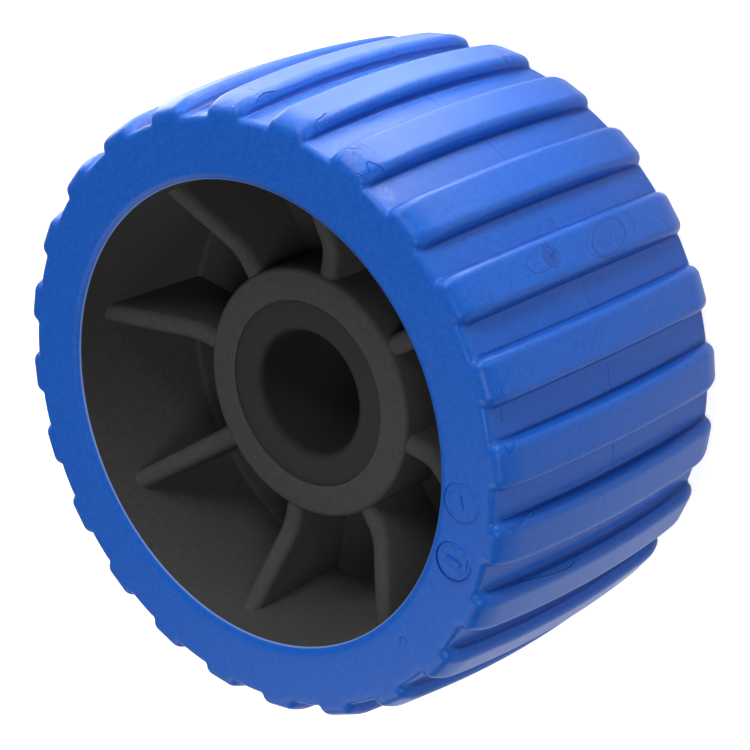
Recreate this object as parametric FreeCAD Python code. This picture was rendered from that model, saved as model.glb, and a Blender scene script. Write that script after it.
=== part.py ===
"""Ribbed side roller of a boat trailer: a moulded hub with a crowned, ribbed tyre moulded round its rim.

The roller turns about Z. The origin is at the middle of the bore, half way between the end faces,
and the middle of one rib points along +X. All sizes are in millimetres.
"""
import FreeCAD, Part

import math
import os

# Whole roller
roller_d = 130.0            # over the rib tops at mid width
roller_width = 70.7         # between the two end faces

# Tyre
tyre_wall = 9.8             # from the hub's rim to the groove floors at mid width
floor_rise = 1.8            # crown of the groove floors, from their ends to mid width
tread_edge_r = 1.1          # rounding between the groove floors and an end face
lip_round_r = 2.3           # rounding from an end face into the mouth, ending at the hub's rim
lip_round_width = 1.75      # how much wider than the mouth that rounding starts

# Ribs of the tread
rib_count = 24
rib_height = 3.2            # at mid width
rib_root_width = 10.0       # at the groove floor, at mid width
rib_flank_deg = 14.0        # lean of each flank
rib_corner_r = 1.6          # rounding along both edges of a rib's top
rib_crown_rise = 2.25       # crown of the rib tops over the whole width
rib_end_length = 5.8        # stretch before an end face where a rib curves down
rib_end_r = 13.0            # radius of that curve
rib_edge_r = 2.0            # rounding between a rib and an end face
rib_sink = 1.0              # how far a rib's solid reaches under the groove floor

# Hub: rim and disc
rim_wall = 4.4              # at the mouth
rim_end_r = 3.0             # outer rounding of each rim end, under the tyre
rim_straight = 5.1          # depth from an end face where the rim's inside starts to taper
rim_draft_deg = 3.7
rim_foot_r = 1.0            # rounding between rim and disc
disc_thickness = 4.4

# Hub: boss and bore
bore_d = 25.4
bore_mouth_r = 1.7          # rounding at each end of the bore
boss_d = 51.8               # at its end faces
boss_draft_deg = 1.0
boss_depth = 16.8           # from an end face of the roller to the boss's own face
boss_edge_r = 1.0
boss_foot_r = 1.5
recess_d = 38.8             # turned seat for a thrust washer
recess_depth = 0.4

# Hub: radial webs on both sides of the disc
web_count = 8
web_turn_deg = -0.9         # angle from a rib's middle to the nearest web
web_thickness = 4.0         # at the level of the end face
web_draft_deg = 0.5
web_step = 0.6              # web top below the boss's face
web_slope_start_r = 31.3    # radius where the web's top starts to climb to the rim
web_rim_depth = 7.3         # from an end face to the top of the climb, at the rim's inside
web_bend_r = 8.0            # bend where the climb starts
web_rim_r = 3.0             # bend where the climb ends at the rim
web_edge_r = 1.7            # rounding along both edges of a web's top
web_bury = 0.6              # how far a web's solid reaches into boss and rim

# Radii and levels that follow from the sizes above
half_width = roller_width / 2
crown_r = roller_d / 2
floor_mid_r = crown_r - rib_height
floor_end_r = floor_mid_r - floor_rise
rim_outer_r = floor_mid_r - tyre_wall
mouth_r = rim_outer_r - rim_wall
lip_depth = lip_round_r - math.sqrt(lip_round_r ** 2 - lip_round_width ** 2)
rim_end_z = half_width - lip_depth
disc_z = disc_thickness / 2
boss_z = half_width - boss_depth
axis_z = FreeCAD.Vector(0, 0, 1)
origin = FreeCAD.Vector(0, 0, 0)


def point(x, z):
    """Point of the section plane through the axis."""
    return FreeCAD.Vector(x, 0, z)


def rounded_face(corners):
    """Flat face in the section plane, from (x, z, rounding) corners in order."""
    firsts, middles, lasts = [], [], []
    for i, (x, z, rounding) in enumerate(corners):
        here = point(x, z)
        before = point(*corners[i - 1][:2]) - here
        after = point(*corners[(i + 1) % len(corners)][:2]) - here
        half_turn = before.getAngle(after) / 2
        before.normalize()
        after.normalize()
        reach = rounding / math.tan(half_turn)
        firsts.append(here + before * reach)
        lasts.append(here + after * reach)
        inwards = before + after
        if rounding:
            inwards.normalize()
        middles.append(here + inwards * (rounding / math.sin(half_turn) - rounding))
    edges = []
    for i, (x, z, rounding) in enumerate(corners):
        if rounding:
            edges.append(Part.Arc(firsts[i], middles[i], lasts[i]).toShape())
        edges.append(Part.LineSegment(lasts[i], firsts[(i + 1) % len(corners)]).toShape())
    return Part.Face(Part.Wire(edges))


def turned(face):
    """Solid of a section turned once round the axis."""
    return face.revolve(origin, axis_z, 360)


def around(solid, count, first_deg=0.0):
    """Copies of a solid, spaced evenly round the axis."""
    copies = []
    for i in range(count):
        copy = solid.copy()
        copy.rotate(origin, axis_z, first_deg + 360.0 * i / count)
        copies.append(copy)
    return copies


def mirrored(corners):
    """Corners of the upper half, then the same corners of the lower half in reverse."""
    return corners + [(x, -z, rounding) for x, z, rounding in reversed(corners)]


def tyre_body():
    """Tyre without its ribs: crowned outside, and a channel inside that holds the hub's rim."""
    lip_start = mouth_r + lip_round_width
    half_turn = math.asin(lip_round_width / lip_round_r) / 2
    bend_x = lip_start - lip_round_r * math.sin(half_turn)
    bend_z = half_width - lip_round_r * (1 - math.cos(half_turn))

    def straight(start, end):
        return Part.LineSegment(point(*start), point(*end)).toShape()

    def lip(side):
        """Rounding of one mouth, from its end face to the hub's rim."""
        start, bend, end = (lip_start, side * half_width), (bend_x, side * bend_z), (mouth_r, side * rim_end_z)
        return Part.Arc(point(*start), point(*bend), point(*end)).toShape()

    edges = [
        Part.Arc(point(floor_end_r, -half_width), point(floor_mid_r, 0), point(floor_end_r, half_width)).toShape(),
        straight((floor_end_r, half_width), (lip_start, half_width)),
        lip(1),
        straight((mouth_r, rim_end_z), (mouth_r, -rim_end_z)),
        lip(-1),
        straight((lip_start, -half_width), (floor_end_r, -half_width)),
    ]
    channel = rounded_face(mirrored([(rim_outer_r, rim_end_z, rim_end_r), (mouth_r - rim_wall, rim_end_z, 0)]))
    body = turned(Part.Face(Part.Wire(Part.__sortEdges__(edges))).cut(channel))
    tread_edges = [edge for edge in body.Edges
                   if edge.BoundBox.XMax > floor_end_r - 0.01 and edge.BoundBox.ZLength < 0.01]
    return body.makeFillet(tread_edge_r, tread_edges)


def rib_section():
    """Cross-section of a rib in the mid plane, from under the groove floor to its top."""
    lean = math.tan(math.radians(rib_flank_deg))
    root = rib_root_width / 2
    low, high = floor_mid_r - rib_sink, crown_r
    flank = [(low, root + rib_sink * lean), (high, root - rib_height * lean)]
    outline = [(x, -y, 0) for x, y in flank] + [(x, y, 0) for x, y in reversed(flank)]
    outline[1] = outline[1][:2] + (rib_corner_r,)
    outline[2] = outline[2][:2] + (rib_corner_r,)
    section = rounded_face(outline)
    section.rotate(origin, FreeCAD.Vector(1, 0, 0), 90)
    return section


def rib():
    """One rib: its section swept along the crown, then down the end curves and cut at the end faces."""
    along_r = (half_width ** 2 + rib_crown_rise ** 2) / (2 * rib_crown_rise)
    crown_turn = math.degrees(math.asin((half_width - rib_end_length) / along_r))
    across = FreeCAD.Vector(0, -1, 0)
    crown_centre = point(crown_r - along_r, 0)
    start = rib_section()
    start.rotate(crown_centre, across, -crown_turn)
    middle = start.revolve(crown_centre, across, 2 * crown_turn)
    ends = []
    for side in (1, -1):
        section = rib_section()
        section.rotate(crown_centre, across, side * crown_turn)
        reach = math.radians(crown_turn)
        centre = crown_centre + point(math.cos(reach), side * math.sin(reach)) * (along_r - rib_end_r)
        ends.append(section.revolve(centre, across, side * (90 - crown_turn)))
    whole = middle.fuse(ends).removeSplitter()
    slab = Part.makeBox(roller_d, roller_d, roller_width, FreeCAD.Vector(0, -roller_d / 2, -half_width))
    whole = whole.common(slab)
    bottom_x = floor_mid_r - rib_sink - roller_width
    end_edges = [edge for edge in whole.Edges
                 if abs(abs(edge.CenterOfMass.z) - half_width) < 0.001 and edge.BoundBox.XMax > bottom_x]
    lowest = min(edge.BoundBox.XMin for edge in end_edges)
    end_edges = [edge for edge in end_edges if edge.BoundBox.XMax > lowest + 0.01]
    return whole.makeFillet(rib_edge_r, end_edges)


def tyre():
    """Tyre with its ribs, one solid."""
    return tyre_body().fuse(around(rib(), rib_count)).removeSplitter()


def hub_core():
    """Rim, disc and boss with its bore, turned as one section."""
    taper = math.tan(math.radians(rim_draft_deg))
    rim_foot = mouth_r - (half_width - rim_straight - disc_z) * taper
    boss_top = boss_d / 2
    boss_foot = boss_top + (boss_z - disc_z) * math.tan(math.radians(boss_draft_deg))
    upper = [
        (rim_outer_r, rim_end_z, rim_end_r),
        (mouth_r, rim_end_z, 0),
        (mouth_r, half_width - rim_straight, 0),
        (rim_foot, disc_z, rim_foot_r),
        (boss_foot, disc_z, boss_foot_r),
        (boss_top, boss_z, boss_edge_r),
        (recess_d / 2, boss_z, 0),
        (recess_d / 2, boss_z - recess_depth, 0),
        (bore_d / 2, boss_z - recess_depth, bore_mouth_r),
    ]
    return turned(rounded_face(mirrored(upper)))


def web():
    """One radial web above the disc, level at the boss and climbing to the rim, with rounded top edges."""
    inner = boss_d / 2 - web_bury
    outer = mouth_r + web_bury
    level = boss_z - web_step
    slope = (half_width - web_rim_depth - level) / (mouth_r - web_slope_start_r)
    rim_level = level + slope * (outer - web_slope_start_r)
    end_level = rim_level + web_rim_r * math.tan(math.pi / 4 - math.atan(slope) / 2) + web_bury / 2
    end_x = outer + 1.5 * web_edge_r
    side_face = rounded_face([
        (inner, 0, 0),
        (end_x, 0, 0),
        (end_x, end_level, 0),
        (outer, end_level, 0),
        (outer, rim_level, web_rim_r),
        (web_slope_start_r, level, web_bend_r),
        (inner, level, 0),
    ])
    foot = web_thickness / 2 + half_width * math.tan(math.radians(web_draft_deg))
    side_face.translate(FreeCAD.Vector(0, -foot, 0))
    plate = side_face.extrude(FreeCAD.Vector(0, 2 * foot, 0))
    wedge_corners = [(-foot, 0), (foot, 0), (web_thickness / 2, half_width), (-web_thickness / 2, half_width)]
    wedge_points = [FreeCAD.Vector(inner, y, z) for y, z in wedge_corners]
    wedge_face = Part.Face(Part.makePolygon(wedge_points + wedge_points[:1]))
    solid = plate.common(wedge_face.extrude(FreeCAD.Vector(end_x - inner, 0, 0)))
    top_edges = [edge for edge in solid.Edges
                 if edge.BoundBox.ZMin > disc_z and edge.BoundBox.XLength + edge.BoundBox.ZLength > 0.01
                 and inner + 0.01 < edge.CenterOfMass.x < outer + 0.01 and abs(edge.CenterOfMass.y) > 0.01]
    return solid.makeFillet(web_edge_r, top_edges)


def hub():
    """Hub with its webs on both sides of the disc, one solid."""
    upper = web()
    lower = upper.mirror(origin, axis_z)
    webs = around(upper, web_count, web_turn_deg) + around(lower, web_count, web_turn_deg)
    return hub_core().fuse(webs).removeSplitter()


def main():
    os.makedirs("parts", exist_ok=True)
    for name, build in (("tyre", tyre), ("hub", hub)):
        shape = build()
        solid = shape.Solids[0]
        print(name, "solids", len(shape.Solids), "valid", solid.isValid(), "volume", round(solid.Volume),
              "box", [round(v, 2) for v in (shape.BoundBox.XLength, shape.BoundBox.YLength, shape.BoundBox.ZLength)])
        solid.exportStep("parts/%s.step" % name)


main()
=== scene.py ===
"""Looks of a boat trailer roller: a blue tread moulded round a black hub, on a pale floor in soft light.

Lengths are in metres unless a name says otherwise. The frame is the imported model's: the bore runs along Z,
the end face in view is the one at +Z, and the middle of one rib points along +X.
"""
import logging
import math
from dataclasses import dataclass
from enum import Enum
from functools import cached_property, reduce

import bmesh
import bpy
from mathutils import Matrix, Vector
from mathutils.bvhtree import BVHTree


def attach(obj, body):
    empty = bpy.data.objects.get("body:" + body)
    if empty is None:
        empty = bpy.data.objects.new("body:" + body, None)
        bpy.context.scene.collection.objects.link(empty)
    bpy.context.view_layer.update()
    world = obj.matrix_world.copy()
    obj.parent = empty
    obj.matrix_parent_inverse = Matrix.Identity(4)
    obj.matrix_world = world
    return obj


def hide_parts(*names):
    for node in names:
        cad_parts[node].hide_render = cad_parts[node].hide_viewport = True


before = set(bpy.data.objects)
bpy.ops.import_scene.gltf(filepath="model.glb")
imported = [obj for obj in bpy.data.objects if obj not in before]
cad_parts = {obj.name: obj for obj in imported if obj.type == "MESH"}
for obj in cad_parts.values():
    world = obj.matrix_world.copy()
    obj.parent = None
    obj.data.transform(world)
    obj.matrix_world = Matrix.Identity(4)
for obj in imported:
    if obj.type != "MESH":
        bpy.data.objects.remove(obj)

LOG = logging.getLogger("roller")
MM = 0.001
MERGE = 1e-6
FULL_TURN = 2 * math.pi

# The shared effects: scratches and rubbed patches, as values of their noise, and the shares of a contour line
# and of its patch that have full strength
SCRATCH_LINE = 0.012
RUBBED_LIMITS = (0.55, 0.72)
CONTOUR_CORE = 0.4
CONTOUR_PATCH_CORE = 0.8

BMesh = bmesh.types.BMesh
Socket = bpy.types.NodeSocket
Sockets = bpy.types.bpy_prop_collection
Four = tuple[float, float, float, float]
Colour = Four
Point = tuple[float, float, float]
Pair = tuple[float, float]

# The camera, as fitted to the photograph: place of the row's axes as the lens sees them, X right, Y down, Z away
PHOTO_SIDE_PX = 750
LENS_PX = 2750.3167
SENSOR_WIDTH_MM = 36.0
CLIP_START = 0.01
VIEW_X = Vector((0.6204827882, -0.3498532218, -0.7018574163))
VIEW_Y = Vector((-0.4447884705, -0.8940979598, 0.0524600305))
VIEW_Z = Vector((-0.6458825947, 0.2796275407, -0.7103830744))
FACE_CENTRE_SEEN = Vector((-0.0245535992, 0.0084358369, 0.5362562759))


class Finish(Enum):
    """Finishes of the roller, named after the record's material slots."""
    TREAD = "tyre"
    HUB = "hub"


class Zone(Enum):
    """Stretches of the tread's outline, from a rib's middle to the middle of the next groove."""
    TOP = 0
    CORNER = 1
    FLANK = 2
    ROOT = 3
    GROOVE = 4


def tan_deg(degrees: float) -> float:
    """Tangent of an angle in degrees."""
    return math.tan(math.radians(degrees))


def even_steps(first: float, last: float, count: int) -> list[float]:
    """Values at even steps after the first one, up to the last."""
    return [first + (last - first) * i / count for i in range(1, count + 1)]


def join_up(bm: BMesh) -> None:
    """Merges vertices that coincide, and turns the faces outwards."""
    bmesh.ops.remove_doubles(bm, verts=bm.verts, dist=MERGE)
    bmesh.ops.recalc_face_normals(bm, faces=bm.faces)


def into_mesh(name: str, bm: BMesh) -> bpy.types.Mesh:
    """Makes a mesh of mesh data.

    Args:
        name: name of the mesh.
        bm: the mesh data, which is freed.

    Returns:
        The mesh.
    """
    mesh = bpy.data.meshes.new(name)
    bm.to_mesh(mesh)
    bm.free()
    return mesh


def in_scene(name: str, data: bpy.types.ID) -> bpy.types.Object:
    """Adds an object to the scene.

    Args:
        name: name of the object.
        data: its mesh, lamp or camera.

    Returns:
        The object.
    """
    item = bpy.data.objects.new(name, data)
    bpy.context.scene.collection.objects.link(item)
    return item


def smooth_object(name: str, bm: BMesh, crease_deg: float) -> bpy.types.Object:
    """Turns a finished bmesh into a smooth-shaded object with sharp creases.

    Args:
        name: name of the object and its mesh.
        bm: the mesh data, which is freed.
        crease_deg: edges that turn more than this stay sharp.

    Returns:
        The object, linked to the scene at the origin.
    """
    join_up(bm)
    for face in bm.faces:
        face.smooth = True
    mesh = into_mesh(name, bm)
    mesh.set_sharp_from_angle(angle=math.radians(crease_deg))
    return in_scene(name, mesh)


def round_off(part: BMesh, items: list, reach: float, segments: int, affect: str = "EDGES") -> None:
    """Rounds off edges or vertices of a part, from a reach on each side of them."""
    bmesh.ops.bevel(part, geom=items, offset=reach, offset_type="OFFSET", segments=segments, profile=0.5,
                    affect=affect, material=-1, clamp_overlap=False)


def turn_part(part: BMesh, degrees: float) -> None:
    """Turns a part about the axis."""
    bmesh.ops.rotate(part, verts=part.verts, cent=(0, 0, 0), matrix=Matrix.Rotation(math.radians(degrees), 3, "Z"))


def section_face(bm: BMesh, corners: list[Point], segments: int) -> bmesh.types.BMFace:
    """Adds a flat section in the XZ plane and rounds its corners.

    Args:
        bm: mesh data that gets the section.
        corners: x, z and rounding of each corner, in order round the section.
        segments: steps in each rounding.

    Returns:
        The section's face.
    """
    verts = [bm.verts.new((x, 0.0, z)) for x, z, _ in corners]
    bm.faces.new(verts)
    for i, (x, z, rounding) in enumerate(corners):
        if rounding == 0.0:
            continue
        here = Vector((x, z))
        before = Vector(corners[i - 1][:2]) - here
        after = Vector(corners[(i + 1) % len(corners)][:2]) - here
        reach = rounding / math.tan(before.angle(after) / 2)
        round_off(bm, [verts[i]], reach, segments, affect="VERTICES")
    bm.faces.ensure_lookup_table()
    return bm.faces[0]


def turned_section(corners: list[Point], segments: int, steps: int) -> BMesh:
    """Turns a rounded section once round the axis, as a closed solid.

    Args:
        corners: x, z and rounding of each corner of the section.
        segments: steps in each rounding.
        steps: steps of the full turn.

    Returns:
        Mesh data of the solid.
    """
    part = bmesh.new()
    face = section_face(part, corners, segments)
    bmesh.ops.delete(part, geom=[face], context="FACES_ONLY")
    bmesh.ops.spin(part, geom=[*part.verts, *part.edges], cent=(0, 0, 0), axis=(0, 0, 1),
                   angle=FULL_TURN, steps=steps, use_merge=True, use_duplicate=False)
    return part


def repeat_round_axis(part: BMesh, count: int) -> None:
    """Sets copies of a part round the axis, evenly over one full turn."""
    bmesh.ops.spin(part, geom=[*part.verts, *part.edges, *part.faces], cent=(0, 0, 0), axis=(0, 0, 1),
                   angle=FULL_TURN - FULL_TURN / count, steps=count - 1, use_merge=False, use_duplicate=True)


def add_part(bm: BMesh, part: BMesh) -> None:
    """Adds a finished part to a piece, with its faces outwards.

    Args:
        bm: mesh data of the piece.
        part: mesh data of the part, which is freed.
    """
    join_up(part)
    mesh = into_mesh("part", part)
    bm.from_mesh(mesh)
    bpy.data.meshes.remove(mesh)


def grid_through(lines: list[list[Vector]]) -> BMesh:
    """Lays a grid through lines of points.

    Args:
        lines: lines of equally many points, side by side.

    Returns:
        Mesh data of the open grid.
    """
    part = bmesh.new()
    last_line, last_point = len(lines) - 1, len(lines[0]) - 1
    bmesh.ops.create_grid(part, x_segments=last_line, y_segments=last_point, size=1.0)
    for vert in part.verts:
        line, place = round((vert.co.x + 1) / 2 * last_line), round((vert.co.y + 1) / 2 * last_point)
        vert.co = lines[line][place]
    return part


@dataclass(frozen=True)
class MouldMark:
    """Round mark of an insert in the mould, raised a hair above the end face: a ring, and a pointer amid dots."""
    x: float
    y: float
    radius: float
    pointer_deg: float = 0.0
    pointer_length: float = 0.0
    dots: int = 0
    line: float = 0.15 * MM
    crest: float = 0.4
    height: float = 0.13 * MM
    sunk: float = 0.3 * MM
    ring_steps: int = 64
    dot_r: float = 0.26 * MM
    dot_place: float = 0.76
    dot_flatness: float = 0.5
    pointer_width: float = 0.55 * MM
    pointer_rise: float = 1.7
    pointer_edge: float = 0.04 * MM

    def ring(self) -> BMesh:
        """Thin raised ring, a ridge whose crest is nearer to its inside.

        Returns:
            Mesh data of the ring.
        """
        low, high = self.radius - self.line, self.radius + self.line
        corners = [(low, -self.sunk, 0.0), (high, -self.sunk, 0.0), (high, 0.0, 0.0),
                   (self.radius - self.crest * self.line, self.height, 0.0), (low, 0.0, 0.0)]
        return turned_section(corners, segments=1, steps=self.ring_steps)

    def pointer(self) -> BMesh:
        """Straight raised bar with soft edges, turned to where it points.

        Returns:
            Mesh data of the bar.
        """
        part = bmesh.new()
        bmesh.ops.create_cube(part, size=1.0)
        depth = self.sunk + self.pointer_rise * self.height
        bmesh.ops.scale(part, verts=part.verts, vec=(self.pointer_length, self.pointer_width, depth))
        round_off(part, list(part.edges), self.pointer_edge, segments=2)
        bmesh.ops.translate(part, verts=part.verts, vec=(0, 0, depth / 2 - self.sunk))
        turn_part(part, self.pointer_deg)
        return part

    def dot_circle(self) -> BMesh:
        """Small raised dots inside the ring.

        Returns:
            Mesh data of all dots.
        """
        part = bmesh.new()
        bmesh.ops.create_uvsphere(part, u_segments=10, v_segments=6, radius=self.dot_r)
        bmesh.ops.scale(part, verts=part.verts, vec=(1, 1, self.dot_flatness))
        bmesh.ops.translate(part, verts=part.verts, vec=(self.dot_place * self.radius, 0, 0))
        repeat_round_axis(part, self.dots)
        return part

    def add_to(self, bm: BMesh, face_z: float) -> None:
        """Adds the mark to the tread.

        Args:
            bm: mesh data of the tread.
            face_z: level of the end face.
        """
        parts = [self.ring()]
        if self.pointer_length:
            parts.append(self.pointer())
        if self.dots:
            parts.append(self.dot_circle())
        for part in parts:
            bmesh.ops.translate(part, verts=part.verts, vec=(self.x, self.y, face_z))
            add_part(bm, part)


@dataclass(frozen=True)
class Fold:
    """Thin raised fold, as polymer leaves where it met last: its points lie close to the surface, in mm."""
    points: tuple[Point, ...]
    half_width: float = 0.18 * MM
    height: float = 0.18 * MM
    crest: float = 0.3
    sunk: float = 0.15 * MM
    step: float = 0.35 * MM
    waver: float = 0.10 * MM
    waver_turns: Pair = (1.9, 0.7)
    end_share: float = 0.12
    end_steps: int = 5

    def path(self) -> list[Vector]:
        """Runs a smooth curve through the fold's points.

        Returns:
            Points on the curve at even steps.
        """
        knots = [Vector(point) * MM for point in self.points]
        knots = [2 * knots[0] - knots[1]] + knots + [2 * knots[-1] - knots[-2]]
        track = []
        for before, start, end, after in zip(knots, knots[1:], knots[2:], knots[3:]):
            bend, twist = 2 * before - 5 * start + 4 * end - after, 3 * start - before - 3 * end + after
            count = max(2, round((end - start).length / self.step))
            for i in range(count):
                t = i / count
                track.append(0.5 * (2 * start + (end - before) * t + bend * t ** 2 + twist * t ** 3))
        return track + [knots[-2]]

    def add_to(self, bm: BMesh, surface: BVHTree) -> None:
        """Adds the fold to the tread.

        Args:
            bm: mesh data of the tread.
            surface: the tread's surface, on which the fold lies.
        """
        track = self.path()
        last = len(track) - 1
        fast, slow = self.waver_turns
        rings = []
        for i, spot in enumerate(track):
            foot, normal, _, _ = surface.find_nearest(spot)
            side = (track[min(i + 1, last)] - track[max(i - 1, 0)]).cross(normal).normalized()
            foot = foot + side * (self.waver * math.sin(fast * i) * math.sin(slow * i))
            full = math.sin(math.pi * min(0.5, self.end_share + min(i, last - i) / self.end_steps))
            reach, rise = self.half_width * full, self.height * full
            shape = ((-1.0, -self.sunk), (-1.0, 0.0), (-self.crest, rise),
                     (self.crest, rise), (1.0, 0.0), (1.0, -self.sunk))
            rings.append([foot + side * (reach * across) + normal * level for across, level in shape])
        part = grid_through([ring + ring[:1] for ring in rings])
        bmesh.ops.remove_doubles(part, verts=part.verts, dist=MERGE)
        bmesh.ops.holes_fill(part, edges=part.edges, sides=len(shape))
        add_part(bm, part)


@dataclass
class Moulding:
    """Sizes of both pieces, one of which is moulded round the other's rim."""
    width: float = 70.7 * MM
    mouth_r: float = 47.6 * MM
    rim_r: float = 52.0 * MM
    rim_end_r: float = 3.0 * MM

    @property
    def half(self) -> float:
        """Half the width, which is the level of the end face in view."""
        return self.width / 2


@dataclass
class Tread(Moulding):
    """Blue tread, moulded round the hub's rim: crowned ring with ribs, flat end faces and rounded mouths."""
    crown_r: float = 65.0 * MM
    crown_rise: float = 2.25 * MM
    groove_r: float = 61.8 * MM
    groove_rise: float = 1.8 * MM
    edge_r: float = 1.3 * MM
    rib_edge_r: float = 2.3 * MM
    rib_count: int = 24
    rib_height: float = 3.2 * MM
    rib_root_width: float = 10.0 * MM
    flank_deg: float = 14.0
    corner_r: float = 1.6 * MM
    end_corner_r: float = 2.35 * MM
    corner_growth: float = 9.0 * MM
    root_r: float = 0.5 * MM
    end_length: float = 5.8 * MM
    end_r: float = 13.0 * MM
    lip_r: float = 2.3 * MM
    lip_width: float = 1.75 * MM
    seam_height: float = 0.09 * MM
    seam_rows: tuple[float, ...] = (0.0, 0.12 * MM, 0.25 * MM)
    crown_rows: int = 9
    crown_length: float = 28.8 * MM
    end_rows: int = 5
    edge_rows: int = 6
    face_rows: tuple[float, ...] = (0.12, 0.4, 0.75, 1.0)
    lip_rows: int = 6
    channel_rows: int = 3
    slope_step: float = 0.01 * MM
    halvings: int = 40
    edge_rounds: int = 8
    crease_deg: float = 40.0
    marks: tuple[MouldMark, ...] = (
        MouldMark(41.4 * MM, -33.1 * MM, 4.1 * MM, pointer_deg=65.0, pointer_length=2.7 * MM, dots=12),
        MouldMark(32.9 * MM, -42.1 * MM, 4.1 * MM, pointer_deg=-49.5, pointer_length=3.5 * MM, dots=12,
                  line=0.22 * MM, height=0.26 * MM),
        MouldMark(11.1 * MM, -51.8 * MM, 0.85 * MM, line=0.20 * MM, height=0.14 * MM),
    )
    folds: tuple[Fold, ...] = (
        Fold(((55.3, -26.8, 33.3), (55.8, -28.6, 32.7), (55.8, -26.9, 29.9))),
        Fold(((46.0, -39.4, 33.3), (46.9, -41.1, 32.5), (47.3, -41.4, 30.8), (47.3, -40.9, 28.2),
              (47.0, -40.4, 25.7))),
        Fold(((35.0, -51.3, 27.1), (35.3, -51.9, 21.7), (35.6, -53.0, 16.6), (35.7, -53.4, 10.7),
              (35.7, -52.8, 8.6))),
        Fold(((34.9, 51.4, 29.8), (35.1, 52.4, 29.0), (35.1, 52.8, 27.2), (35.3, 52.5, 24.0))),
        Fold(((35.4, 52.5, 21.8), (35.6, 52.6, 15.5), (35.5, 52.0, 8.5)), half_width=0.10 * MM, height=0.05 * MM),
        Fold(((46.8, 40.3, 31.5), (47.2, 42.0, 30.6), (47.1, 43.0, 27.0))),
        Fold(((47.3, 41.7, 30.2), (47.3, 41.0, 28.1)), half_width=0.10 * MM, height=0.06 * MM),
        Fold(((55.2, 30.4, 31.8), (55.5, 29.2, 32.5), (55.8, 28.1, 33.0))),
        Fold(((55.2, 30.4, 31.8), (55.8, 29.1, 30.9), (56.3, 27.5, 29.8))),
        Fold(((56.1, 28.5, 31.6), (56.3, 27.9, 31.3), (56.3, 27.5, 30.6)), half_width=0.10 * MM, height=0.06 * MM),
        Fold(((36.2, -43.0, 35.35), (35.4, -43.9, 35.35), (34.7, -44.7, 35.35))),
    )

    def __post_init__(self) -> None:
        """Works out the sizes that follow from the fields."""
        self.lean = tan_deg(self.flank_deg)
        self.top_half = self.rib_root_width / 2 - self.rib_height * self.lean
        self.corner_turn = math.radians(90 - self.flank_deg)
        self.along_r = (self.half ** 2 + self.crown_rise ** 2) / (2 * self.crown_rise)
        self.groove_along_r = (self.half ** 2 + self.groove_rise ** 2) / (2 * self.groove_rise)
        self.crown_turn = math.asin((self.half - self.end_length) / self.along_r)
        self.end_x = self.crown_r - self.along_r + math.cos(self.crown_turn) * (self.along_r - self.end_r)
        self.end_z = math.sin(self.crown_turn) * (self.along_r - self.end_r)
        self.lip_depth = self.lip_r - math.sqrt(self.lip_r ** 2 - self.lip_width ** 2)

    def columns(self) -> list[tuple[Zone, float]]:
        """Lines of vertices across half a rib and half a groove.

        Returns:
            Each line's zone and its share of that zone.
        """
        counts = {Zone.TOP: 5, Zone.CORNER: 7, Zone.FLANK: 2, Zone.ROOT: 4, Zone.GROOVE: 4}
        lines = [(zone, i / count) for zone, count in counts.items() for i in range(count)]
        return lines + [(Zone.GROOVE, 1.0)]

    def corner(self, z: float) -> Point:
        """Rounding along a rib's top edges, which grows towards the end faces.

        Args:
            z: place along the roller.

        Returns:
            Its radius, its reach across the rib's top, and its depth.
        """
        first, last = self.half - self.corner_growth, self.half - self.rib_edge_r
        grown = min(1.0, max(0.0, (z - first) / (last - first)))
        radius = self.corner_r + grown ** 2 * (self.end_corner_r - self.corner_r)
        return radius, radius * math.tan(self.corner_turn / 2), radius * (1 - math.cos(self.corner_turn))

    def swept(self, depth: float, z: float) -> Pair:
        """Follows a rib along the roller.

        Args:
            depth: depth under the rib's top.
            z: place along the roller.

        Returns:
            Distance from the axis in the rib's middle plane, and the slope's tilt in radians.
        """
        along = self.along_r - depth
        if z <= along * math.sin(self.crown_turn):
            return self.crown_r - self.along_r + math.sqrt(along ** 2 - z ** 2), math.asin(z / along)
        end = self.end_r - depth
        return self.end_x + math.sqrt(end ** 2 - (z - self.end_z) ** 2), math.asin((z - self.end_z) / end)

    def groove(self, z: float) -> Pair:
        """Radius and tilt of the groove floors at a place along the roller."""
        drop = self.groove_along_r - math.sqrt(self.groove_along_r ** 2 - z ** 2)
        return self.groove_r - drop, math.asin(z / self.groove_along_r)

    def root_depth(self, z: float) -> float:
        """Finds where a rib's flank meets the groove floor.

        Args:
            z: place along the roller.

        Returns:
            Depth of that corner under the rib's top.
        """
        floor = self.groove(z)[0]
        low, high = 0.0, 2 * self.rib_height
        for _ in range(self.halvings):
            depth = (low + high) / 2
            reach = math.hypot(self.swept(depth, z)[0], self.top_half + depth * self.lean)
            low, high = (depth, high) if reach > floor else (low, depth)
        return low

    def root_arc(self, z: float) -> tuple[Vector, float, float, float]:
        """Small rounding between flank and groove floor.

        Args:
            z: place along the roller.

        Returns:
            Centre of the rounding, angles of the flank's and the floor's normal, and its reach along both.
        """
        depth = self.root_depth(z)
        corner = Vector((self.swept(depth, z)[0], self.top_half + depth * self.lean))
        higher = depth - self.slope_step
        up = (Vector((self.swept(higher, z)[0], self.top_half + higher * self.lean)) - corner).normalized()
        radial = corner.normalized()
        away = Vector((-radial.y, radial.x))
        half_angle = up.angle(away) / 2
        centre = corner + (up + away).normalized() * (self.root_r / math.sin(half_angle))
        return centre, math.atan2(up.x, -up.y), math.atan2(radial.y, radial.x), self.root_r / math.tan(half_angle)

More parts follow.
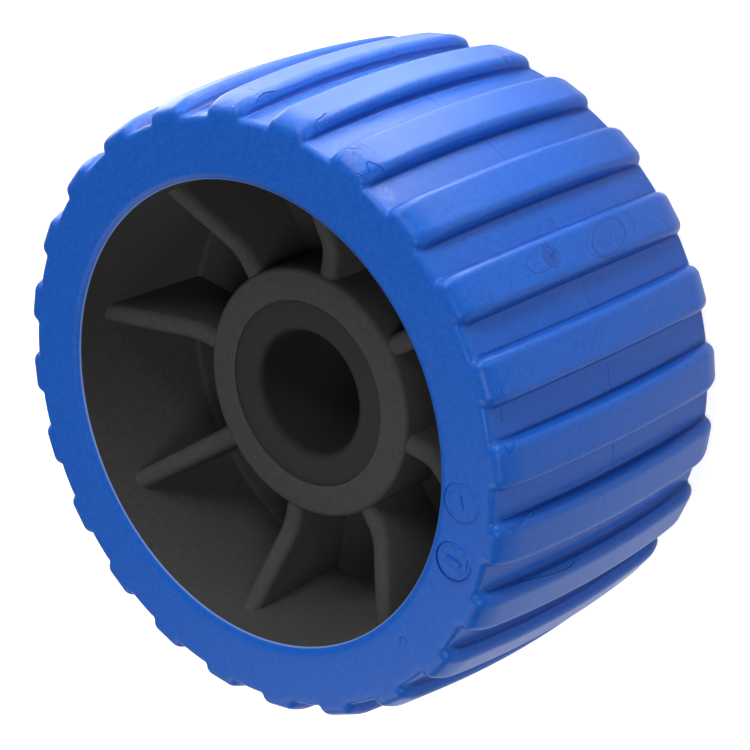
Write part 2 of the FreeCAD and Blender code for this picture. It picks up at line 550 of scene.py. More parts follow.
    def surface(self, zone: Zone, share: float, z: float) -> tuple[Vector, Vector]:
        """Point of the tread's outside.

        Args:
            zone: stretch of the outline.
            share: place in that stretch, from 0 to 1.
            z: place along the roller.

        Returns:
            The point and its outward normal.
        """
        corner_r, corner_reach, corner_depth = self.corner(z)
        if zone is Zone.TOP:
            x, tilt = self.swept(0.0, z)
            return self.placed(x, share * (self.top_half - corner_reach), z, 0.0, tilt)
        if zone is Zone.CORNER:
            turn = share * self.corner_turn
            x, tilt = self.swept(corner_r * (1 - math.cos(turn)), z)
            across = self.top_half - corner_reach + corner_r * math.sin(turn)
            return self.placed(x, across, z, turn, tilt)
        centre, flank_angle, floor_angle, reach = self.root_arc(z)
        low = self.root_depth(z) - reach * math.cos(math.radians(self.flank_deg))
        if zone is Zone.FLANK:
            depth = corner_depth + share * (low - corner_depth)
            x, tilt = self.swept(depth, z)
            return self.placed(x, self.top_half + depth * self.lean, z, self.corner_turn, tilt)
        floor, floor_tilt = self.groove(z)
        if zone is Zone.ROOT:
            angle = flank_angle + share * (floor_angle - flank_angle)
            flank_slope = math.cos(self.corner_turn) * math.sin(self.swept(low, z)[1])
            slope = flank_slope + share * (math.sin(floor_tilt) - flank_slope)
            spot = centre - Vector((math.cos(angle), math.sin(angle))) * self.root_r
            return Vector((spot.x, spot.y, z)), self.facing(angle, slope)
        start = centre - Vector((math.cos(floor_angle), math.sin(floor_angle))) * self.root_r
        first = math.atan2(start.y, start.x)
        angle = first + share * (math.pi / self.rib_count - first)
        spot = Vector((floor * math.cos(angle), floor * math.sin(angle), z))
        return spot, self.facing(angle, math.sin(floor_tilt))

    @staticmethod
    def facing(angle: float, slope: float) -> Vector:
        """Unit vector at an angle round Z, with its share along Z given."""
        flat = math.sqrt(1 - slope ** 2)
        return Vector((math.cos(angle) * flat, math.sin(angle) * flat, slope))

    @staticmethod
    def placed(x: float, y: float, z: float, turn: float, tilt: float) -> tuple[Vector, Vector]:
        """Point and outward normal on a rib, whose section faces a turn before the sweep tilts it."""
        normal = Vector((math.cos(turn) * math.cos(tilt), math.sin(turn), math.cos(turn) * math.sin(tilt)))
        return Vector((x, y, z)), normal

    def end_rounding(self, zone: Zone, share: float) -> float:
        """Rounding between a line of vertices and the end face, larger on a rib than on a groove floor.

        Args:
            zone: stretch of the outline that the line lies in.
            share: its place in that stretch.

        Returns:
            The rounding's radius.
        """
        if zone is Zone.GROOVE:
            return self.edge_r
        if zone is Zone.ROOT:
            return self.rib_edge_r + share * (self.edge_r - self.rib_edge_r)
        return self.rib_edge_r

    def edge_start(self, zone: Zone, share: float) -> float:
        """Finds where the rounding into the end face starts on one line of vertices.

        Args:
            zone: stretch of the outline that the line lies in.
            share: its place in that stretch.

        Returns:
            Place along the roller.
        """
        rounding = self.end_rounding(zone, share)
        z = self.half - rounding
        for _ in range(self.edge_rounds):
            tilt = math.asin(max(0.0, self.surface(zone, share, z)[1].z))
            z = self.half - rounding * (1 - math.sin(tilt))
        return z

    def line(self, zone: Zone, share: float) -> list[Vector]:
        """One line of vertices, from mid width over the end face and the lip into the channel for the rim.

        Args:
            zone: stretch of the outline that the line starts in.
            share: its place in that stretch.

        Returns:
            The line's points in order.
        """
        start, rounding = self.edge_start(zone, share), self.end_rounding(zone, share)
        levels = [*self.seam_rows, *even_steps(0.0, self.crown_length, self.crown_rows)]
        levels += even_steps(self.crown_length, start, self.end_rows)
        spots = [self.surface(zone, share, z) for z in levels]
        points = [spot for spot, _ in spots]
        if zone in (Zone.ROOT, Zone.GROOVE):
            points[0] += spots[0][1] * self.seam_height
        normal = spots[-1][1]
        tilt = math.asin(max(0.0, normal.z))
        centre = points[-1] - normal * rounding
        outward = Vector((normal.x, normal.y, 0.0)).normalized()
        for angle in even_steps(tilt, math.pi / 2, self.edge_rows):
            points.append(centre + (outward * math.cos(angle) + Vector((0, 0, math.sin(angle)))) * rounding)
        return points + self.inner_line(points[-1])

    def inner_line(self, rim: Vector) -> list[Vector]:
        """Rest of a line of vertices, inwards from the outer edge of the end face.

        Args:
            rim: the line's point on that edge.

        Returns:
            The further points in order.
        """
        heading = Vector((rim.x, rim.y, 0.0)).normalized()
        outer, lip_start = math.hypot(rim.x, rim.y), self.mouth_r + self.lip_width
        section = [(outer + share * (lip_start - outer), self.half) for share in self.face_rows]
        for angle in even_steps(0.0, math.asin(self.lip_width / self.lip_r), self.lip_rows):
            section.append((lip_start - self.lip_r * math.sin(angle),
                            self.half - self.lip_r * (1 - math.cos(angle))))
        end_z = self.half - self.lip_depth
        for angle in (0.0, *even_steps(0.0, math.pi / 2, self.channel_rows)):
            section.append((self.rim_r - self.rim_end_r * (1 - math.sin(angle)),
                            end_z - self.rim_end_r * (1 - math.cos(angle))))
        section.append((self.rim_r, 0.0))
        return [heading * reach + Vector((0, 0, level)) for reach, level in section]

    def build(self) -> bpy.types.Object:
        """Builds the tread from a quarter of one rib period, mirrored twice and set round the axis.

        Returns:
            The tread's object.
        """
        bm = grid_through([self.line(zone, share) for zone, share in self.columns()])
        for axis in "YZ":
            bmesh.ops.mirror(bm, geom=[*bm.verts, *bm.edges, *bm.faces], matrix=Matrix.Identity(4),
                             merge_dist=MERGE, axis=axis)
        repeat_round_axis(bm, self.rib_count)
        join_up(bm)
        surface = BVHTree.FromBMesh(bm)
        for mark in self.marks:
            mark.add_to(bm, self.half)
        for fold in self.folds:
            fold.add_to(bm, surface)
        piece = smooth_object("tread", bm, self.crease_deg)
        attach(piece, "root")
        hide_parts("tyre")
        return piece


@dataclass
class Hub(Moulding):
    """Black hub, moulded in one: rim, disc, boss with its bore, and webs on both sides of the disc."""
    rim_end_drop: float = 0.8075 * MM
    rim_straight: float = 5.1 * MM
    rim_draft_deg: float = 3.7
    rim_foot_r: float = 1.0 * MM
    disc_half: float = 2.2 * MM
    bore_r: float = 12.7 * MM
    bore_mouth_r: float = 1.7 * MM
    boss_r: float = 25.9 * MM
    boss_draft_deg: float = 1.0
    boss_depth: float = 16.8 * MM
    boss_edge_r: float = 1.0 * MM
    boss_foot_r: float = 1.5 * MM
    recess_r: float = 19.4 * MM
    recess_depth: float = 0.4 * MM
    web_count: int = 8
    web_turn_deg: float = -0.9
    web_thickness: float = 4.0 * MM
    web_draft_deg: float = 0.5
    web_step: float = 0.6 * MM
    web_slope_start: float = 31.3 * MM
    web_rim_depth: float = 7.3 * MM
    web_bend_r: float = 8.0 * MM
    web_rim_r: float = 3.0 * MM
    web_edge_r: float = 1.7 * MM
    web_bury: float = 0.6 * MM
    web_tail: float = 1.5
    turn_steps: int = 288
    crease_deg: float = 35.0

    def core(self, bm: BMesh) -> None:
        """Adds rim, disc and boss as one turned solid.

        Args:
            bm: mesh data of the hub.
        """
        boss_z = self.half - self.boss_depth
        rim_foot = self.mouth_r - (self.half - self.rim_straight - self.disc_half) * tan_deg(self.rim_draft_deg)
        boss_foot = self.boss_r + (boss_z - self.disc_half) * tan_deg(self.boss_draft_deg)
        upper = [
            (self.rim_r, self.half - self.rim_end_drop, self.rim_end_r),
            (self.mouth_r, self.half - self.rim_end_drop, 0.0),
            (self.mouth_r, self.half - self.rim_straight, 0.0),
            (rim_foot, self.disc_half, self.rim_foot_r),
            (boss_foot, self.disc_half, self.boss_foot_r),
            (self.boss_r, boss_z, self.boss_edge_r),
            (self.recess_r, boss_z, 0.0),
            (self.recess_r, boss_z - self.recess_depth, 0.0),
            (self.bore_r, boss_z - self.recess_depth, self.bore_mouth_r),
        ]
        lower = [(x, -z, rounding) for x, z, rounding in reversed(upper)]
        add_part(bm, turned_section(upper + lower, segments=6, steps=self.turn_steps))

    def web(self) -> BMesh:
        """One web above the disc, level at the boss and climbing to the rim, with its top edges rounded.

        Its two ends and its foot are buried in the boss, the rim and the disc.

        Returns:
            Mesh data of the web.
        """
        inner = self.boss_r - self.web_bury
        outer = self.mouth_r + self.web_bury
        level = self.half - self.boss_depth - self.web_step
        slope = (self.half - self.web_rim_depth - level) / (self.mouth_r - self.web_slope_start)
        rim_level = level + slope * (outer - self.web_slope_start)
        bend_reach = self.web_rim_r * math.tan(math.pi / 4 - math.atan(slope) / 2)
        end_level = rim_level + bend_reach + self.web_bury / 2
        end_x = outer + self.web_tail * self.web_edge_r
        foot = self.disc_half / 2
        part = bmesh.new()
        side = section_face(part, [
            (inner, foot, 0.0),
            (end_x, foot, 0.0),
            (end_x, end_level, 0.0),
            (outer, end_level, 0.0),
            (outer, rim_level, self.web_rim_r),
            (self.web_slope_start, level, self.web_bend_r),
            (inner, level, 0.0),
        ], segments=8)
        bmesh.ops.translate(part, verts=part.verts, vec=(0, -1, 0))
        grown = bmesh.ops.extrude_face_region(part, geom=[side], use_keep_orig=True)
        moved = [item for item in grown["geom"] if isinstance(item, bmesh.types.BMVert)]
        bmesh.ops.translate(part, verts=moved, vec=(0, 2, 0))
        draft = tan_deg(self.web_draft_deg)
        for vert in part.verts:
            vert.co.y *= self.web_thickness / 2 + (self.half - vert.co.z) * draft
        ridge = {vert for vert in part.verts if vert.co.x < outer + MERGE and vert.co.z > level - MERGE}
        edges = [edge for edge in part.edges
                 if ridge.issuperset(edge.verts) and edge.verts[0].co.y * edge.verts[1].co.y > 0]
        round_off(part, edges, self.web_edge_r, segments=6)
        turn_part(part, self.web_turn_deg)
        return part

    def webs(self, bm: BMesh) -> None:
        """Adds all webs, on both sides of the disc.

        Args:
            bm: mesh data of the hub.
        """
        for side in (1, -1):
            part = self.web()
            bmesh.ops.scale(part, verts=part.verts, vec=(1, 1, side))
            repeat_round_axis(part, self.web_count)
            add_part(bm, part)

    def build(self) -> bpy.types.Object:
        """Builds the hub.

        Returns:
            The hub's object.
        """
        bm = bmesh.new()
        self.core(bm)
        self.webs(bm)
        piece = smooth_object("hub_moulding", bm, self.crease_deg)
        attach(piece, "root")
        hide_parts("hub")
        return piece


class Graph:
    """Adds and joins the nodes of one node tree."""

    def __init__(self, tree: bpy.types.NodeTree) -> None:
        """Starts on a tree, which is emptied."""
        self.tree = tree
        tree.nodes.clear()

    def add(self, kind: str, settings: dict[str, object] | None = None, **inputs: object) -> bpy.types.Node:
        """Adds a node and fills its inputs with numbers, colours or other nodes' outputs.

        Args:
            kind: the node's type name.
            settings: properties of the node.
            inputs: values by the inputs' names, with _ for a space, or by i and the number of an input's place.

        Returns:
            The node.
        """
        node = self.tree.nodes.new(kind)
        for name, value in (settings or {}).items():
            setattr(node, name, value)
        for name, value in inputs.items():
            place = name[1:]
            socket = node.inputs[int(place) if name[0] == "i" and place.isdigit() else name.replace("_", " ")]
            if isinstance(value, Socket):
                self.tree.links.new(value, socket)
            else:
                socket.default_value = value
        return node

    def math(self, operation: str, first: object, second: object = 0.0) -> Socket:
        """Output of a sum of two numbers or outputs."""
        return self.add("ShaderNodeMath", {"operation": operation}, i0=first, i1=second).outputs[0]

    def product(self, *factors: object) -> Socket:
        """Output of numbers or outputs that are multiplied."""
        return reduce(lambda first, second: self.math("MULTIPLY", first, second), factors)

    def gap(self, first: object, second: object) -> Socket:
        """Output of how far apart two numbers or outputs are."""
        return self.math("ABSOLUTE", self.math("SUBTRACT", first, second))

    def vector(self, operation: str, first: object, second: object = (0.0, 0.0, 0.0)) -> bpy.types.Node:
        """Sum of two vectors, as a node with a vector and a number as its outputs."""
        return self.add("ShaderNodeVectorMath", {"operation": operation}, i0=first, i1=second)

    def ramp(self, value: object, low: object, high: object, to_low: float = 0.0, to_high: float = 1.0) -> Socket:
        """Output that goes smoothly from one number to another as a value passes between two limits."""
        return self.add("ShaderNodeMapRange", {"interpolation_type": "SMOOTHSTEP"},
                        i0=value, i1=low, i2=high, i3=to_low, i4=to_high).outputs[0]

    def blend(self, factor: object, first: object, second: object) -> Socket:
        """Colour between two colours."""
        return self.add("ShaderNodeMix", {"data_type": "RGBA"}, i0=factor, i6=first, i7=second).outputs[2]

    def noise(self, vector: Socket, scale: float, detail: float = 2.0, roughness: float = 0.5) -> Socket:
        """Noise value at a scale per metre."""
        node = self.add("ShaderNodeTexNoise", Vector=vector, Scale=scale, Detail=detail, Roughness=roughness)
        return node.outputs[0]

    def effect(self, group: bpy.types.NodeTree, vector: Socket, **inputs: float) -> Sockets:
        """Outputs of a node group that reads a vector."""
        return self.add("ShaderNodeGroup", {"node_tree": group}, Vector=vector, **inputs).outputs


class GroupGraph(Graph):
    """Graph of a new node group, which reads a vector and some numbers and gives numbers."""

    def __init__(self, name: str, inputs: tuple[str, ...], outputs: tuple[str, ...]) -> None:
        """Starts the group.

        Args:
            name: the group's name.
            inputs: names of its number inputs.
            outputs: names of its outputs.
        """
        super().__init__(bpy.data.node_groups.new(name, "ShaderNodeTree"))
        self.tree.interface.new_socket("Vector", in_out="INPUT", socket_type="NodeSocketVector")
        for side, labels in (("INPUT", inputs), ("OUTPUT", outputs)):
            for label in labels:
                self.tree.interface.new_socket(label, in_out=side, socket_type="NodeSocketFloat")
        self.given = self.add("NodeGroupInput").outputs


class MaterialGraph(Graph):
    """Graph of a new material, with outputs that say where a point of the surface is."""

    def __init__(self, name: str) -> None:
        """Starts the material.

        Args:
            name: the material's name.
        """
        self.material = bpy.data.materials.new(name)
        self.material.use_nodes = True
        super().__init__(self.material.node_tree)

    @cached_property
    def place(self) -> Socket:
        """The point's Object coordinates."""
        return self.add("ShaderNodeTexCoord").outputs["Object"]

    @cached_property
    def split(self) -> Sockets:
        """Its x, y and z."""
        return self.add("ShaderNodeSeparateXYZ", Vector=self.place).outputs

    @cached_property
    def radius(self) -> Socket:
        """Its distance from the axis."""
        squares = [self.math("POWER", self.split[axis], 2.0) for axis in (0, 1)]
        return self.math("SQRT", self.math("ADD", *squares))

    @cached_property
    def level(self) -> Socket:
        """Its distance from mid width."""
        return self.math("ABSOLUTE", self.split[2])

    def end(self, shader: bpy.types.Node) -> bpy.types.Material:
        """Ends the material with a shader's output, and gives it back."""
        self.add("ShaderNodeOutputMaterial", Surface=shader.outputs[0])
        return self.material


@dataclass(frozen=True)
class EffectGroups:
    """Node groups that finishes use more than once."""
    grain: bpy.types.NodeTree
    scuffs: bpy.types.NodeTree
    contours: bpy.types.NodeTree

    @classmethod
    def build(cls) -> "EffectGroups":
        """Builds every shared group once."""
        return cls(grain=cls.grain_group(), scuffs=cls.scuff_group(), contours=cls.contour_group())

    @staticmethod
    def grain_group() -> bpy.types.NodeTree:
        """Fine grain of a moulded surface, with a slow unevenness under it.

        Returns:
            The group.
        """
        graph = GroupGraph("moulded_grain", ("Unevenness",), ("Height", "Mottle"))
        vector = graph.given["Vector"]
        fine = graph.noise(vector, scale=2600.0, detail=3.0, roughness=0.6)
        waves = graph.product(graph.noise(vector, scale=160.0), graph.given["Unevenness"])
        mottle = graph.noise(vector, scale=900.0, detail=4.0, roughness=0.7)
        graph.add("NodeGroupOutput", Height=graph.math("ADD", fine, waves), Mottle=mottle)
        return graph.tree

    @staticmethod
    def scuff_group() -> bpy.types.NodeTree:
        """Thin scratches, which lie in rubbed patches.

        Returns:
            The group.
        """
        graph = GroupGraph("handling_scuffs", (), ("Scratches", "Rubbed"))
        vector = graph.given["Vector"]
        warp = graph.add("ShaderNodeMapping", Vector=vector, Rotation=(0.4, 0.9, 0.3), Scale=(1.0, 9.0, 1.0))
        streaks = graph.noise(warp.outputs[0], scale=260.0, roughness=0.4)
        thin = graph.ramp(graph.gap(streaks, 0.5), 0.0, SCRATCH_LINE, 1.0, 0.0)
        patches = graph.ramp(graph.noise(vector, scale=55.0, detail=3.0, roughness=0.6), *RUBBED_LIMITS)
        graph.add("NodeGroupOutput", Scratches=graph.product(thin, patches), Rubbed=patches)
        return graph.tree

    @staticmethod
    def contour_group() -> bpy.types.NodeTree:
        """Fine wavering lines round a point, as polymer leaves where it met last in the mould.

        The vector's origin is the point, and its length 1 is where the lines have faded out.

        Returns:
            The group.
        """
        graph = GroupGraph("contour_lines", ("Lines", "Waver", "Width"), ("Line",))
        vector, width = graph.given["Vector"], graph.given["Width"]
        distance = graph.vector("LENGTH", vector).outputs[1]
        shift = graph.math("SUBTRACT", graph.noise(vector, scale=1.6), 0.5)
        wavering = graph.math("ADD", distance, graph.product(shift, graph.given["Waver"]))
        step = graph.math("FRACT", graph.product(wavering, graph.given["Lines"]))
        line = graph.ramp(graph.gap(step, 0.5), graph.product(width, CONTOUR_CORE), width, 1.0, 0.0)
        inside = graph.ramp(distance, CONTOUR_PATCH_CORE, 1.0, 1.0, 0.0)
        graph.add("NodeGroupOutput", Line=graph.product(line, inside))
        return graph.tree


@dataclass(frozen=True)
class ContourSpot:
    """Patch of contour lines on a rib's top, with its lengths in mm: where it is, and how its lines run."""
    middle: Point
    reach: Pair
    turn_deg: float
    lines: float
    waver: float
    strength: float = 1.0
    half_line: float = 0.13
    depth: float = 5.0

    def build(self, graph: MaterialGraph, groups: EffectGroups) -> Socket:
        """Adds the patch to a material.

        Args:
            graph: the material's graph.
            groups: the shared effects.

        Returns:
            Output that is 1 on a line and 0 off it.
        """
        mapping = graph.add("ShaderNodeMapping", {"vector_type": "TEXTURE"}, Vector=graph.place,
                            Location=[length * MM for length in self.middle],
                            Rotation=(math.radians(self.turn_deg), 0.0, 0.0),
                            Scale=[length * MM for length in (self.depth, *self.reach)])
        width = self.half_line * self.lines / max(self.reach)
        spot = graph.effect(groups.contours, mapping.outputs[0], Lines=self.lines, Waver=self.waver, Width=width)
        return graph.product(spot["Line"], self.strength)


@dataclass(frozen=True)
class PolymerFinish:
    """What both polymers share: two mottled tones, a fine grain, scratches in rubbed patches and a low gloss."""
    name: str
    deep: Colour
    light: Colour
    wear_and_highlight: Colour
    roughness: float
    specular: float
    unevenness: float
    scratched: float
    bump: float
    rubbed_gloss: float = 0.0
    bump_depth: float = 0.05 * MM
    mottle: Pair = (0.35, 0.65)
    roughness_span: float = 0.12

    def under(self, graph: MaterialGraph, colour: Socket) -> Socket:
        """Colour with what lies under the scratches."""
        return colour

    def over(self, graph: MaterialGraph, groups: EffectGroups, colour: Socket,
             height: Socket) -> tuple[Socket, Socket]:
        """Colour and height with what lies over the scratches."""
        return colour, height

    def build(self, groups: EffectGroups) -> bpy.types.Material:
        """Builds the material.

        Args:
            groups: the shared effects.

        Returns:
            The material.
        """
        graph = MaterialGraph(self.name)
        grain = graph.effect(groups.grain, graph.place, Unevenness=self.unevenness)
        scuffs = graph.effect(groups.scuffs, graph.place)
        colour = graph.blend(graph.ramp(grain["Mottle"], *self.mottle), self.deep, self.light)
        colour = self.under(graph, colour)
        colour = graph.blend(graph.product(scuffs["Scratches"], self.scratched), colour, self.wear_and_highlight)
        colour, height = self.over(graph, groups, colour, grain["Height"])
        roughness = graph.math("ADD", graph.product(grain["Mottle"], self.roughness_span),
                               self.roughness - self.roughness_span / 2)
        roughness = graph.math("SUBTRACT", roughness, graph.product(scuffs["Rubbed"], self.rubbed_gloss))
        bump = graph.add("ShaderNodeBump", Strength=self.bump, Distance=self.bump_depth, Height=height)
        return graph.end(graph.add("ShaderNodeBsdfPrincipled", Base_Color=colour, Roughness=roughness,
                                   Normal=bump.outputs[0], Specular_IOR_Level=self.specular))


@dataclass(frozen=True)
class TreadFinish(PolymerFinish):
    """Semi-matt blue polymer: rubbed patches, dark flow-front lines, painted shade at marks and rib feet, painted
    highlight at mouths.
    """
    name: str = "blue_tread_polymer"
    deep: Colour = (0.006, 0.081, 0.415, 1.0)
    light: Colour = (0.010, 0.096, 0.455, 1.0)
    # Colour of scratches and rubbed patches, and of the painted highlight round the mouths
    wear_and_highlight: Colour = (0.16, 0.24, 0.52, 1.0)
    roughness: float = 0.37
    specular: float = 0.19
    unevenness: float = 2.0
    scratched: float = 0.35
    bump: float = 0.50
    rubbed_gloss: float = 0.05
    # Colour of the dark lines: flow-front and contour lines, and painted shade round the marks' rings and along
    # the rib feet
    dark_line_and_shade: Colour = (0.002, 0.030, 0.22, 1.0)
    crease_depth: float = 5.0
    # Painted highlight: a pale line at the lip's edge round each mouth, its radii and its strength
    mouth_highlight: Pair = (Moulding.mouth_r + 0.15 * MM, Moulding.mouth_r + 0.35 * MM)
    mouth_highlight_strength: float = 0.8
    flow_line: float = 0.009
    flow_breaks: Pair = (0.52, 0.6)
    flow_levels: Pair = (22.0 * MM, 28.0 * MM)
    flow_radii: Pair = (59.0 * MM, 60.5 * MM)
    flow_strength: float = 0.6
    rings: tuple[Four, ...] = ((41.4, -33.1, 3.95, 0.45), (32.9, -42.1, 3.95, 1.0))
    ring_line: Pair = (0.064 * MM, 0.16 * MM)
    ring_shade: Four = (-1.0, 0.6, 0.15, 1.0)
    shaded_side: Point = (-0.91, -0.42, 0.0)
    # Painted shade along both feet of each rib: its place across the rib, its width, its strength and its fade
    # towards the end faces
    foot_across: float = 4.95 * MM
    foot_line: Pair = (0.09 * MM, 0.30 * MM)
    foot_strength: float = 0.75
    foot_end: Pair = (32.35 * MM, 34.15 * MM)
    frosted: tuple[tuple[Point, float], ...] = (((53.7, 32.5, 32.5), 2.6), ((55.7, 23.4, 31.6), 3.0),
                                                ((44.6, 40.6, 33.0), 2.2))
    frost_core: float = 0.2
    speckle: Four = (0.38, 0.66, 0.10, 0.60)
    spots: tuple[ContourSpot, ...] = (
        ContourSpot((64.8, 0.5, 9.0), (2.9, 2.6), 0.0, 6.0, 0.15),
        ContourSpot((64.8, 0.4, 8.8), (0.9, 0.9), 0.0, 1.5, 1.2, half_line=0.2),
        ContourSpot((64.8, 0.6, 11.8), (4.6, 8.0), 8.0, 1.0, 0.10),
        ContourSpot((64.8, -0.4, -8.8), (6.0, 11.4), 12.0, 1.0, 0.06),
        ContourSpot((64.8, -0.2, -8.0), (6.6, 13.2), 12.0, 1.0, 0.08),
        ContourSpot((64.8, -0.2, -10.6), (7.4, 15.6), 12.0, 1.0, 0.08),
        ContourSpot((64.8, -0.2, -8.0), (2.4, 4.6), 12.0, 4.0, 0.6, strength=0.8),
        ContourSpot((64.2, -1.6, 25.0), (3.6, 8.0), 10.0, 4.0, 0.5, strength=0.35),
    )

    def flow_lines(self, graph: MaterialGraph) -> Socket:
        """Thin broken lines near the rib ends, where flow fronts of the polymer met.

        Args:
            graph: the material's graph.

        Returns:
            Output with the lines' strength, 0 off them.
        """
        fronts = graph.noise(graph.place, scale=75.0, detail=3.0, roughness=0.45)
        line = graph.ramp(graph.gap(fronts, 0.5), 0.0, self.flow_line, 1.0, 0.0)
        near_end = graph.ramp(graph.level, *self.flow_levels)
        outside = graph.ramp(graph.radius, *self.flow_radii)
        broken = graph.ramp(graph.noise(graph.place, scale=60.0, detail=1.0), *self.flow_breaks)
        return graph.product(line, broken, near_end, outside, self.flow_strength)

    def ring_shadows(self, graph: MaterialGraph) -> Socket:
        """Dark lines at the inner foot of the mould marks' rings, strongest on their shaded side.

        Args:
            graph: the material's graph.

        Returns:
            Output with the lines' strength, 0 off them.
        """
        total = 0.0
        for x, y, radius, strength in self.rings:
            away = graph.vector("SUBTRACT", graph.place, Vector((x * MM, y * MM, Moulding.width / 2))).outputs[0]
            off = graph.gap(graph.vector("LENGTH", away).outputs[1], radius * MM)
            line = graph.ramp(off, *self.ring_line, strength, 0.0)
            first, last, lit, shaded = self.ring_shade
            along = graph.vector("DOT_PRODUCT", away, self.shaded_side).outputs[1]
            side = graph.ramp(along, first * radius * MM, last * radius * MM, lit, shaded)
            total = graph.math("ADD", total, graph.product(line, side))
        return total

    def foot_shade_lines(self, graph: MaterialGraph) -> Socket:
        """Painted shade: a thin dark line along both feet of each rib, in the corner where the flank meets the
        groove floor.

        Args:
            graph: the material's graph.

        Returns:
            Output with the lines' strength, 0 off them.
        """
        pitch = FULL_TURN / Tread.rib_count
        turns = graph.math("DIVIDE", graph.math("ARCTAN2", graph.split[1], graph.split[0]), pitch)
        share = graph.gap(graph.math("FRACT", graph.math("ADD", turns, 0.5)), 0.5)
        off = graph.gap(graph.product(share, pitch, graph.radius), self.foot_across)
        line = graph.ramp(off, *self.foot_line, self.foot_strength, 0.0)
        return graph.product(line, graph.ramp(graph.level, *self.foot_end, 1.0, 0.0))

    def frost(self, graph: MaterialGraph) -> Socket:
        """Pale speckled patches, each round a point, where the polymer was rubbed.

        Args:
            graph: the material's graph.

        Returns:
            Output with the patches' strength.
        """
        total = 0.0
        for centre, reach in self.frosted:
            gap = graph.vector("DISTANCE", graph.place, Vector(centre) * MM).outputs[1]
            patch = graph.ramp(gap, self.frost_core * reach * MM, reach * MM, 1.0, 0.0)
            total = graph.math("ADD", total, patch)
        speckles = graph.ramp(graph.noise(graph.place, scale=1500.0, detail=3.0, roughness=0.7), *self.speckle)
        return graph.product(total, speckles)

    def under(self, graph: MaterialGraph, colour: Socket) -> Socket:
        """Colour with a painted highlight: a pale line round the mouths, at the lip's edge."""
        return graph.blend(graph.ramp(graph.radius, *self.mouth_highlight, self.mouth_highlight_strength, 0.0), colour, self.wear_and_highlight)

    def over(self, graph: MaterialGraph, groups: EffectGroups, colour: Socket,
             height: Socket) -> tuple[Socket, Socket]:
        """Adds the pale patches and all dark lines, which are sunk a little: flow-front and contour lines, and
        painted shade round the marks' rings and along the rib feet.

        Args:
            graph: the material's graph.
            groups: the shared effects.
            colour: output with the colour so far.
            height: output with the height so far.

        Returns:
            Outputs with the colour and the height.
        """
        colour = graph.blend(self.frost(graph), colour, self.wear_and_highlight)
        # Dark lines: flow fronts and contour lines, and painted shade round the marks' rings and along the rib
        # feet
        creases = self.flow_lines(graph)
        for lines in (self.ring_shadows(graph), self.foot_shade_lines(graph)):
            creases = graph.math("MAXIMUM", creases, lines)
        for spot in self.spots:
            creases = graph.math("MAXIMUM", creases, spot.build(graph, groups))
        height = graph.math("SUBTRACT", height, graph.product(creases, self.crease_depth))
        return graph.blend(creases, colour, self.dark_line_and_shade), height


@dataclass(frozen=True)
class HubFinish(PolymerFinish):
    """Matt black polymer, with faint turned lines in the boss's recess, and painted shade that darkens the bore.
    """
    name: str = "black_hub_polymer"
    deep: Colour = (0.042, 0.042, 0.042, 1.0)
    light: Colour = (0.050, 0.050, 0.050, 1.0)
    wear_and_highlight: Colour = (0.12, 0.12, 0.12, 1.0)
    roughness: float = 0.75
    specular: float = 0.12
    unevenness: float = 1.0
    scratched: float = 0.3
    bump: float = 0.35
    turned: Colour = (0.022, 0.022, 0.022, 1.0)
    turned_line: Colour = (0.034, 0.034, 0.034, 1.0)
    turned_edge: Pair = (Hub.recess_r - 0.05 * MM, Hub.recess_r + 0.05 * MM)
    turned_limits: Pair = (0.45, 0.75)
    turned_strength: float = 0.9
    # Painted shade in the bore: its colour, and the radii over which it fades out at the mouth
    bore: Colour = (0.014, 0.014, 0.014, 1.0)
    bore_shade_edge: Pair = (12.8 * MM, 14.0 * MM)

    def under(self, graph: MaterialGraph, colour: Socket) -> Socket:
        """Adds the turned recess, and painted shade that darkens the whole bore.

        Args:
            graph: the material's graph.
            colour: output with the colour so far.

        Returns:
            Output with the colour.
        """
        outward = graph.add("ShaderNodeCombineXYZ", X=graph.radius).outputs[0]
        rings = graph.noise(outward, scale=1800.0, roughness=0.6)
        ring = graph.ramp(rings, *self.turned_limits, 0.0, self.turned_strength)
        turned = graph.blend(ring, self.turned, self.turned_line)
        # Painted shade: the whole bore darker
        turned = graph.blend(graph.ramp(graph.radius, *self.bore_shade_edge, 1.0, 0.0), turned, self.bore)
        return graph.blend(graph.ramp(graph.radius, *self.turned_edge, 1.0, 0.0), colour, turned)


@dataclass(frozen=True)
class Lamp:
    """A soft square lamp that faces the roller, or a spot that it is aimed at."""
    name: str
    place: Point
    side: float
    watts: float
    aim: Point = (0.0, 0.0, 0.0)
    spread_deg: float = 180.0

    def build(self) -> None:
        """Adds the lamp to the scene."""
        data = bpy.data.lights.new(self.name, "AREA")
        data.shape = "SQUARE"
        data.size = self.side
        data.energy = self.watts
        data.spread = math.radians(self.spread_deg)
        lamp = in_scene(self.name, data)
        lamp.location = self.place
        lamp.rotation_euler = (Vector(self.place) - Vector(self.aim)).to_track_quat("Z", "Y").to_euler()


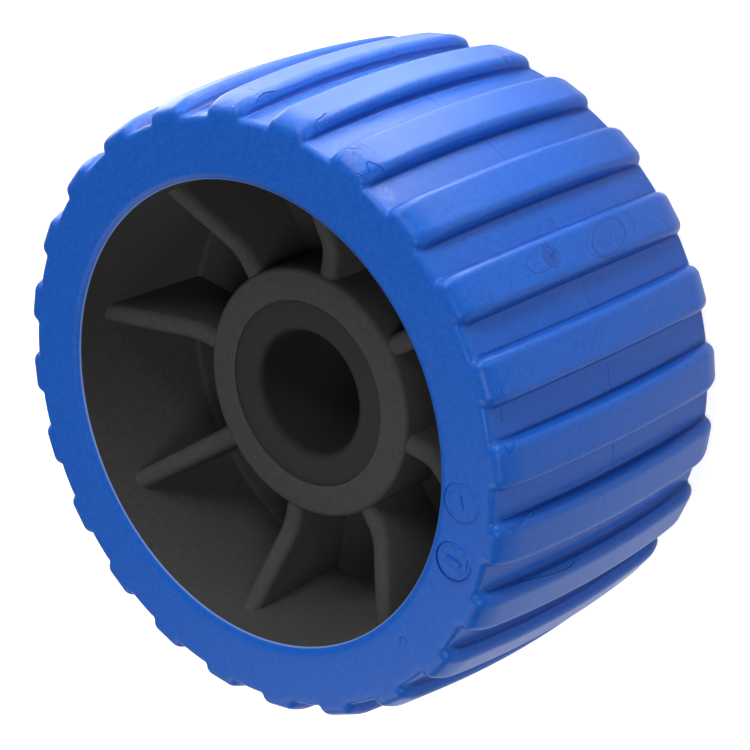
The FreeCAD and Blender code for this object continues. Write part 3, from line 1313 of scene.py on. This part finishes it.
@dataclass
class Studio:
    """Pale floor, dim surroundings, soft lamps and the camera."""
    floor_z: float = -Moulding.width / 2
    floor_side: float = 6.0
    floor_colour: Colour = (0.80, 0.80, 0.80, 1.0)
    light_colour: Colour = (1.0, 1.0, 1.0, 1.0)
    floor_glow: float = 0.65
    surround: float = 0.13
    lamps: tuple[Lamp, ...] = (
        Lamp("key", (0.69, 0.75, 0.64), 0.42, 6.0),
        Lamp("low", (0.66, 0.97, 0.24), 0.42, 5.2),
        Lamp("rear", (-0.15, 1.15, 0.30), 0.60, 3.4),
        Lamp("right", (0.62, -0.42, 0.88), 0.50, 5.4),
        Lamp("left", (-0.46, -0.29, 0.43), 0.45, 1.9),
        Lamp("floor_far", (-0.05, 0.19, 0.20), 0.08, 0.47, aim=(-0.05, 0.19, -0.035), spread_deg=36.0),
        Lamp("floor_near", (0.09, 0.14, 0.25), 0.08, 0.66, aim=(0.09, 0.14, -0.035), spread_deg=30.0),
    )

    @staticmethod
    def seen(graph: Graph) -> Socket:
        """Tells the rays of the camera, of mirrors and of glass.

        Args:
            graph: the floor's graph.

        Returns:
            Output that is 1 for such a ray.
        """
        path = graph.add("ShaderNodeLightPath").outputs
        most = graph.math("MAXIMUM", path["Is Camera Ray"], path["Is Glossy Ray"])
        return graph.math("MAXIMUM", most, path["Is Transmission Ray"])

    def build_floor(self) -> None:
        """Adds the floor, white where it is seen directly, with the roller's shadow on it."""
        bm = bmesh.new()
        bmesh.ops.create_grid(bm, x_segments=1, y_segments=1, size=self.floor_side / 2)
        bmesh.ops.translate(bm, verts=bm.verts, vec=(0, 0, self.floor_z))
        floor = in_scene("floor", into_mesh("floor", bm))
        graph = MaterialGraph("pale_floor")
        matt = graph.add("ShaderNodeBsdfDiffuse", Color=self.floor_colour)
        glow = graph.add("ShaderNodeEmission", Color=self.light_colour,
                         Strength=graph.product(self.seen(graph), self.floor_glow))
        both = graph.add("ShaderNodeAddShader", i0=matt.outputs[0], i1=glow.outputs[0])
        floor.data.materials.append(graph.end(both))

    def build_surroundings(self) -> None:
        """Sets the world, a low even light from all round."""
        world = bpy.data.worlds.new("surroundings")
        world.use_nodes = True
        bpy.context.scene.world = world
        graph = Graph(world.node_tree)
        glow = graph.add("ShaderNodeBackground", Color=self.light_colour, Strength=self.surround)
        graph.add("ShaderNodeOutputWorld", Surface=glow.outputs[0])

    def build_camera(self) -> None:
        """Places the camera where the photograph was taken from."""
        flip = Matrix(((1, 0, 0), (0, -1, 0), (0, 0, -1)))
        turn = flip @ Matrix((VIEW_X, VIEW_Y, VIEW_Z)).transposed()
        seen = turn.to_4x4()
        seen.translation = flip @ (FACE_CENTRE_SEEN + VIEW_Z * self.floor_z)
        data = bpy.data.cameras.new("camera")
        data.sensor_width = SENSOR_WIDTH_MM
        data.lens = LENS_PX / PHOTO_SIDE_PX * SENSOR_WIDTH_MM
        data.clip_start = CLIP_START
        camera = in_scene("camera", data)
        camera.matrix_world = seen.inverted()
        bpy.context.scene.camera = camera

    def build(self) -> None:
        """Builds the whole studio."""
        self.build_floor()
        self.build_surroundings()
        for lamp in self.lamps:
            lamp.build()
        self.build_camera()
        bpy.context.scene.view_settings.view_transform = "Standard"


def main() -> None:
    """Builds the roller's pieces and the studio."""
    logging.basicConfig(level=logging.INFO, format="%(message)s")
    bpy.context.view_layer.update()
    groups = EffectGroups.build()
    pieces = ((Tread().build(), TreadFinish().build(groups)), (Hub().build(), HubFinish().build(groups)))
    for piece, material in pieces:
        piece.data.materials.append(material)
        piece.data.calc_loop_triangles()
        LOG.info("%s: %d triangles, %s", piece.name, len(piece.data.loop_triangles), material.name)
    Studio().build()


if __name__ == "__main__":
    main()
